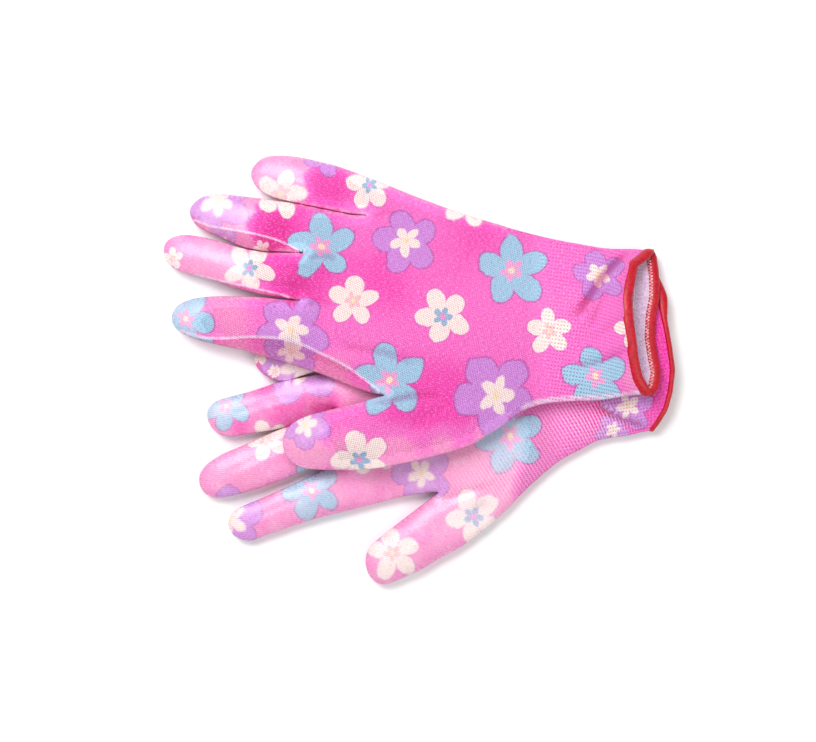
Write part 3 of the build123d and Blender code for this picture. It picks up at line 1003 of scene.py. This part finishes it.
def add_knit(n, film, colour):
    """Rows of small stitches and deeper ribs in the cuff, with painted shade in their hollows, and uneven
    threads: the colour and the height.
    """
    uv = n.uv("knit")
    rib = n.attribute("rib")
    slant = n.plus(uv[0], n.mul(uv[1], 0.35))
    wale = n.wave(slant, 0.95)
    zig = n.math("PINGPONG", n.math("DIVIDE", slant, 0.95), 0.5)
    course = n.wave(n.plus(n.math("DIVIDE", uv[1], 0.8), zig), 1.0)
    ribs, rows = n.wave(uv[0], 1.7), n.wave(uv[1], 1.5)
    stitches = n.plus(n.mul(wale, 0.45), n.mul(course, 0.45))
    cuffs = n.plus(n.mul(n.mul(ribs, rows), 0.6), n.mul(ribs, 0.45))
    height = n.plus(n.mul(stitches, n.minus(1.0, rib)), n.mul(cuffs, rib))
    # Painted shade: the hollows between stitches and ribs are darkened.
    hollow = n.minus(1.0, n.ramp(height, -1.0, 0.25))
    colour = n.mix(n.mul(hollow, 0.45 if film else 0.7), colour, rgb(222, 80, 168), "MULTIPLY")
    thread = n.add("ShaderNodeCombineXYZ")
    n.link(n.mul(uv[0], 1.9), thread.inputs[0])
    n.link(n.mul(uv[1], 0.7), thread.inputs[1])
    thread = n.noise(thread.outputs[0], 1.0, 2.0, 0.6)
    colour = n.mix(n.mul(n.ramp(thread, 0.5, 0.72), 0.20), colour, rgb(255, 232, 246))
    colour = n.mix(n.mul(n.ramp(thread, 0.5, 0.30), 0.34), colour, rgb(216, 96, 170), "MULTIPLY")
    stripe = n.ramp(n.wave(n.plus(uv[1], n.mul(uv[0], 0.45)), 1.75), -0.2, 0.7)
    stripe = n.mul(stripe, n.attribute("stripe"))
    colour = n.mix(n.mul(stripe, 0.6), colour, rgb(252, 214, 236))
    # Threads seen edge-on at the side of a finger look deeper, and the darkening there is also painted shade
    # on the sides that turn away.
    edge_on = n.add("ShaderNodeLayerWeight")
    edge_on.inputs["Blend"].default_value = 0.35
    turned_away = n.mul(n.ramp(edge_on.outputs["Facing"], 0.25, 1.0), 0.55)
    return n.mix(turned_away, colour, rgb(226, 110, 180), "MULTIPLY"), height


def fabric_material(name, film):
    """The printed knit. With film it is the same print seen through the milky dip."""
    material = bpy.data.materials.new(name)
    material.use_nodes = True
    n = Nodes(material.node_tree)
    shader = material.node_tree.nodes["Principled BSDF"]
    coords = n.add("ShaderNodeTexCoord").outputs["Object"]
    wobble = n.noise(coords, 420.0, 1.0)
    fine = n.noise(coords, 900.0, 2.0, 0.6)
    tint = n.plus(n.attribute("tint"), n.swing(n.noise(coords, 26.0, 3.0, 0.6), 1.2))
    ragged = n.plus(n.attribute("dip"), n.swing(n.noise(coords, 300.0, 3.0, 0.65), 0.9))
    dipped = n.ramp(ragged, -0.1, 0.6)

    ground, soak = pink_ground(n, coords, tint, dipped)
    colour = add_flowers(n, coords, wobble, 0.06 if film else 0.03, ground)
    # The dip lets some of the pink through the flowers
    colour = n.mix(n.mul(soak, 0.14), colour, rgb(244, 176, 210))
    colour = add_folds(n, wobble, colour)
    colour, height = add_knit(n, film, colour)
    # Inside the glove the print doesn't show
    lining = n.mix(n.ramp(fine, 0.3, 0.7), rgb(214, 176, 214), rgb(236, 214, 236))
    colour = n.mix(n.uv("inside")[0], colour, lining)

    bump = n.bump(n.plus(height, n.mul(fine, 0.9)), 0.00028, 0.28 if film else 0.7)
    if film:
        milk = n.ramp(n.noise(coords, 90.0, 4.0, 0.6), 0.45, 0.75)
        veil = n.mul(dipped, n.plus(0.05, n.mul(milk, 0.2)))
        colour = n.mix(veil, colour, rgb(250, 228, 238))
        ripple = n.bump(n.noise(coords, 120.0, 3.0, 0.6), 0.0012, 0.35)
        n.link(bump.outputs[0], ripple.inputs["Normal"])
        n.link(ripple.outputs[0], shader.inputs["Normal"])
        n.link(n.minus(0.75, n.mul(dipped, 0.42)), shader.inputs["Roughness"])
        n.link(n.mul(dipped, 0.6), shader.inputs["Coat Weight"])
        shader.inputs["Coat Roughness"].default_value = 0.28
    else:
        n.link(bump.outputs[0], shader.inputs["Normal"])
        shader.inputs["Roughness"].default_value = 0.8
        shader.inputs["Sheen Weight"].default_value = 0.1
        shader.inputs["Sheen Roughness"].default_value = 0.5
    n.link(colour, shader.inputs["Base Color"])
    return material


def thread_material(name, low, high, rough=0.55):
    material = bpy.data.materials.new(name)
    material.use_nodes = True
    n = Nodes(material.node_tree)
    shader = material.node_tree.nodes["Principled BSDF"]
    noise = n.noise(n.add("ShaderNodeTexCoord").outputs["Object"], 900.0, 3.0, 0.6)
    n.link(n.mix(n.ramp(noise, 0.3, 0.7), low, high), shader.inputs["Base Color"])
    n.link(n.bump(noise, 0.0002, 0.5).outputs[0], shader.inputs["Normal"])
    shader.inputs["Roughness"].default_value = rough
    return material


materials = {
    "knit": fabric_material("printed_knit", False),
    "film": fabric_material("dipped_print", True),
    "binding": thread_material("red_binding", rgb(158, 0, 24), rgb(210, 0, 38), 0.42),
    "thread": thread_material("overlock_thread", rgb(228, 60, 84), rgb(252, 222, 226)),
    "elastic": thread_material("elastic_yarn", rgb(226, 212, 226), rgb(248, 240, 248), 0.7),
}


# The trim of the cuff


def tube(path, radii, sides):
    """A tube along a closed path. radii is one number, or two for each point and side."""
    n = len(path)
    ahead = np.roll(path, -1, axis=0) - np.roll(path, 1, axis=0)
    ahead /= np.maximum(np.linalg.norm(ahead, axis=1), 1e-9)[:, None]
    guide = np.array([1.0, 0.0, 0.0])
    u = guide - (ahead @ guide)[:, None] * ahead
    u /= np.maximum(np.linalg.norm(u, axis=1), 1e-6)[:, None]
    v = np.cross(ahead, u)
    a = 2 * np.pi * np.arange(sides) / sides
    radii = np.broadcast_to(radii, (n, sides, 2))
    across = np.cos(a)[None, :, None] * radii[:, :, 0:1] * u[:, None]
    ring = path[:, None] + across + np.sin(a)[None, :, None] * radii[:, :, 1:2] * v[:, None]
    faces = []
    for i in range(n):
        j = (i + 1) % n
        for k in range(sides):
            m = (k + 1) % sides
            faces.append((i * sides + k, j * sides + k, j * sides + m, i * sides + m))
    return ring.reshape(-1, 3), faces


def even(path, step):
    """A closed path with its points a step apart."""
    closed = np.concatenate([path, path[:1]])
    length = np.concatenate([[0], np.cumsum(np.linalg.norm(np.diff(closed, axis=0), axis=1))])
    count = int(round(length[-1] / step))
    at = np.arange(count) * length[-1] / count
    return np.stack([np.interp(at, length, closed[:, k]) for k in range(3)], 1)


def loop_at(glove, shell, x_plan, offset, step, rounds):
    """A closed path round the cuff at one distance along it, moved in from the surface and softened."""
    plan = shell.plan
    ys = np.linspace(plan[:, 1].min(), plan[:, 1].max(), 600)
    keep = inside(np.stack([np.full_like(ys, x_plan), ys], 1), glove.loop)
    low, high = ys[keep].min(), ys[keep].max()
    turn = np.linspace(0, 2 * np.pi, 180, endpoint=False)
    y = (low + high) / 2 + (high - low) / 2 * np.cos(turn) * 0.999
    points = np.stack([np.full_like(y, x_plan), y], 1)
    middle, top, under = glove.heights(points)
    x = true_x(glove, points, middle, top, under, turn < np.pi)
    top = top + wrinkles(glove, np.stack([x, y], 1), glove.fullness(points))[0]
    path = np.stack([x, y, on_ground(np.where(turn < np.pi, top, under))], 1)
    # Move in from the surface, level with the section
    ahead = np.roll(path, -1, axis=0) - np.roll(path, 1, axis=0)
    ahead[:, 0] = 0
    ahead /= np.maximum(np.linalg.norm(ahead, axis=1), 1e-9)[:, None]
    path = even(path + np.stack([np.zeros(len(path)), -ahead[:, 2], ahead[:, 1]], 1) * offset, step)
    for _ in range(rounds):
        path = 0.5 * path + 0.25 * (np.roll(path, 1, axis=0) + np.roll(path, -1, axis=0))
    return path


def binding_tube(glove, shell):
    """The overlocked edge over the mouth, with its threads wound round it."""
    step, sides, pitch, proud = 0.42, 14, 0.95, 0.07
    rim = loop_at(glove, shell, CUT_END - 1.2, KNIT / 2, step, 6)
    turns = np.arange(len(rim))[:, None] * step / pitch
    wound = proud * np.cos(2 * np.pi * (turns - np.arange(sides)[None, :] / sides))
    if glove.name == "right":
        wide = np.full((len(rim), 1), 2.5)
    else:
        wide = 1.3 + 1.2 * smooth(rim[:, 1], 20, 34)[:, None]
    return tube(rim, np.stack([wide + wound, 1.45 + wound], 2), sides)


def stitch_tube(glove, shell):
    """The zigzag of overlock thread inside the mouth."""
    step, pitch = 0.25, 1.5
    inner = loop_at(glove, shell, CUT_END - 4.4, KNIT + 0.35, step, 4)
    outer = loop_at(glove, shell, CUT_END - 2.2, KNIT + 0.9, step, 4)
    count = min(len(inner), len(outer))
    inner, outer = (p[np.linspace(0, len(p) - 1, count).astype(int)] for p in (inner, outer))
    swing = 0.5 + 0.5 * np.sin(2 * np.pi * np.arange(count) * step / pitch)
    return tube(inner * (1 - swing)[:, None] + outer * swing[:, None], 0.24, 6)


def elastic_hoops(glove, shell):
    """The elastic yarns round the inside of the cuff."""
    all_verts, all_faces = [], []
    start = 0
    for x in np.linspace(glove.rib_from + 6, CUT_END - 14, 6):
        verts, faces = tube(loop_at(glove, shell, x, KNIT + 0.25, 1.2, 2), 0.22, 6)
        all_verts.append(verts)
        all_faces += [tuple(v + start for v in f) for f in faces]
        start += len(verts)
    return np.concatenate(all_verts), all_faces


def finish_piece(glove, piece, finger, node, look):
    """Give the piece its material and hide the node that it replaces. A piece that is not a finger's goes on
    the hand's body; a finger's piece only has its placement baked into its points."""
    hand = f"{glove.name}_hand"
    piece.data.materials.append(materials[look])
    if finger is None:
        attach(piece, hand)
    else:
        d, at = glove.direction(finger), glove.bend_along(finger)
        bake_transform(piece)
    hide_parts(f"{glove.name}_{node}")


def build_glove(glove):
    name = glove.name
    shell = build_shell(glove)
    paint = painted(glove, shell)
    outside = np.zeros(len(shell.verts))
    film_top = 0.03 + FILM * smooth(paint["dip"], -0.2, 0.6)
    in_film = (paint["dip"][shell.faces] > -0.25).any(1)
    for label in ["hand", "cuff", *glove.fingers]:
        finger = label if label in glove.fingers else None
        chosen = shell.labels == label
        node = {"hand": "hand_liner", "cuff": "rib_cuff"}.get(label, f"{label}_liner")
        piece = thick_piece(f"{name}_{label}_knit", shell, chosen, outside, outside - KNIT, paint)
        finish_piece(glove, piece, finger, node, "knit")
        if label == "cuff":
            continue
        node = "palm_coating" if label == "hand" else f"{label}_coating"
        film = thick_piece(f"{name}_{label}_film", shell, chosen & in_film, film_top, outside + 0.015, paint)
        finish_piece(glove, film, finger, node, "film")
    for part, made, node, look in (
        ("binding", binding_tube, "cuff_binding", "binding"),
        ("stitches", stitch_tube, "overlock_seam", "thread"),
        ("elastic", elastic_hoops, "elastic_yarns", "elastic"),
    ):
        finish_piece(glove, mesh_piece(f"{name}_{part}", *made(glove, shell)), None, node, look)


left, right = Glove(LEFT), Glove(RIGHT)
right.rest_on(left)
for glove in (left, right):
    build_glove(glove)


# Floor, light and camera

floor_mesh = bpy.data.meshes.new("floor")
corners = [(-3, -3, -0.0004), (3, -3, -0.0004), (3, 3, -0.0004), (-3, 3, -0.0004)]
floor_mesh.from_pydata(corners, [], [(0, 1, 2, 3)])
floor = bpy.data.objects.new("floor", floor_mesh)
bpy.context.scene.collection.objects.link(floor)
floor_material = bpy.data.materials.new("pale_floor")
floor_material.use_nodes = True
floor_shader = floor_material.node_tree.nodes["Principled BSDF"]
floor_shader.inputs["Base Color"].default_value = (1.0, 1.0, 1.0, 1)
floor_shader.inputs["Roughness"].default_value = 0.9
floor_mesh.materials.append(floor_material)

world = bpy.data.worlds.new("studio")
bpy.context.scene.world = world
world.use_nodes = True
world.node_tree.nodes["Background"].inputs["Color"].default_value = (1, 1, 1, 1)
world.node_tree.nodes["Background"].inputs["Strength"].default_value = 0.38


def soft_light(name, place, size, power):
    data = bpy.data.lights.new(name, "AREA")
    data.shape = "SQUARE"
    data.size = size
    data.energy = power
    light = bpy.data.objects.new(name, data)
    bpy.context.scene.collection.objects.link(light)
    light.location = place
    light.rotation_euler = (-Vector(place)).to_track_quat("-Z", "Y").to_euler()


soft_light("key", (-0.35, 0.45, 0.9), 0.55, 9.7)
soft_light("fill", (0.5, -0.4, 0.9), 0.8, 4.2)

VIEW_WIDTH = 0.3754  # metres across the picture at the gloves' height
camera_data = bpy.data.cameras.new("camera")
camera_data.sensor_width = 36.0
camera_data.lens = 85.0
camera = bpy.data.objects.new("camera", camera_data)
bpy.context.scene.collection.objects.link(camera)
distance = VIEW_WIDTH * camera_data.lens / camera_data.sensor_width
camera.location = (-0.0050, -0.0006, distance + 0.012)
camera.rotation_euler = (0, 0, 0)
bpy.context.scene.camera = camera
bpy.context.scene.view_settings.view_transform = "Standard"
